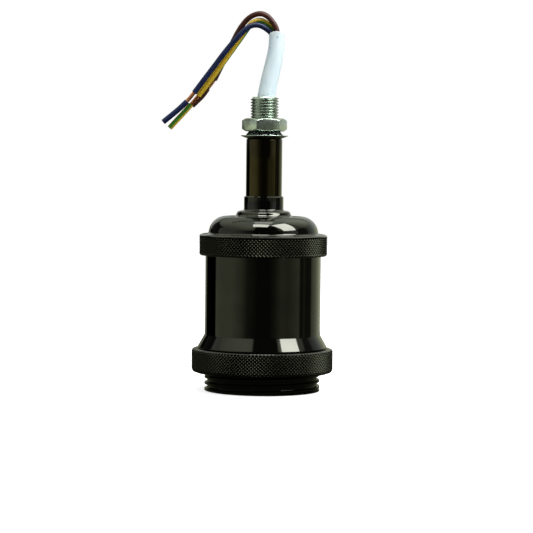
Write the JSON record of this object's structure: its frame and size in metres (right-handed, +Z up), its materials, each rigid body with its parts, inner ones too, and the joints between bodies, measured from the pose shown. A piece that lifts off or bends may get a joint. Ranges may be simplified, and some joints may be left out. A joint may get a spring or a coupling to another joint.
{
  "type": "lamp holder",
  "caption": "Metal-cased screw-base lamp holder with a knurled shade ring, domed cap, stem tube, threaded mounting tube and a stripped three-core flex.",
  "frame": {"origin": "centre of the skirt's rim, on the axis of the holder, at the plane it stands on", "axes": "+Z up along the axis of the holder, from the bulb's mouth to the cable; -Y faces the picture's camera and the stripped cores hang to -X"},
  "size_m": [0.0606, 0.0494, 0.1329],
  "materials": {
    "black_nickel": "polished black nickel plate",
    "zinc_plate": "bright zinc plate",
    "dark_steel": "oiled spring steel",
    "porcelain": "white glaze",
    "nickelled_brass": "nickel-plated brass sheet",
    "brass": "turned brass",
    "spring_bronze": "rolled spring bronze",
    "white_pvc": "soft white PVC",
    "blue_pvc": "soft PVC",
    "brown_pvc": "soft PVC",
    "green_yellow_pvc": "soft PVC, green and yellow stripe",
    "copper": "bare bunched copper strands"
  },
  "bodies": {
    "shell": {"outer_body": "black_nickel"},
    "head": {"top_cap": "black_nickel", "stem_tube": "black_nickel", "nipple": "zinc_plate", "flat_washer": "zinc_plate", "tooth_washer": "dark_steel", "locking_screw": "zinc_plate", "inner_locknut": "zinc_plate", "bridge": "zinc_plate", "bridge_screws": "zinc_plate", "earth_terminal": "brass", "earth_screw": "brass", "porcelain_core": "porcelain", "screw_shell": "nickelled_brass", "shell_rivets": "nickelled_brass", "live_terminal": "brass", "live_terminal_screw": "brass", "neutral_terminal": "brass", "neutral_terminal_screw": "brass", "cable_jacket": "white_pvc", "blue_core": "blue_pvc", "brown_core": "brown_pvc", "earth_core": "green_yellow_pvc", "blue_copper": "copper", "brown_copper": "copper", "earth_copper": "copper", "blue_slug": "blue_pvc", "brown_slug": "brown_pvc", "earth_slug": "green_yellow_pvc", "brown_lead": "brown_pvc", "blue_lead": "blue_pvc", "earth_lead": "green_yellow_pvc"},
    "ring": {"shade_ring": "black_nickel"},
    "nut": {"mounting_nut": "zinc_plate"},
    "tongue": {"centre_contact": "spring_bronze"}
  },
  "joints": [
    {"name": "cap_lift", "type": "slide", "parent": "shell", "child": "head", "axis": [0, 0, 1], "range_m": [0, 0.05]},
    {"name": "ring_travel", "type": "slide", "parent": "shell", "child": "ring", "axis": [0, 0, -1], "range_m": [0, 0.006]},
    {"name": "nut_travel", "type": "slide", "parent": "head", "child": "nut", "axis": [0, 0, 1], "range_m": [0, 0.007]},
    {"name": "contact_spring", "type": "hinge", "parent": "head", "child": "tongue", "pos_m": [0.0068, 0, 0.0293], "axis": [0, 1, 0], "range_deg": [0, 8], "stiffness_Nm_per_rad": 0.15}
  ]
}
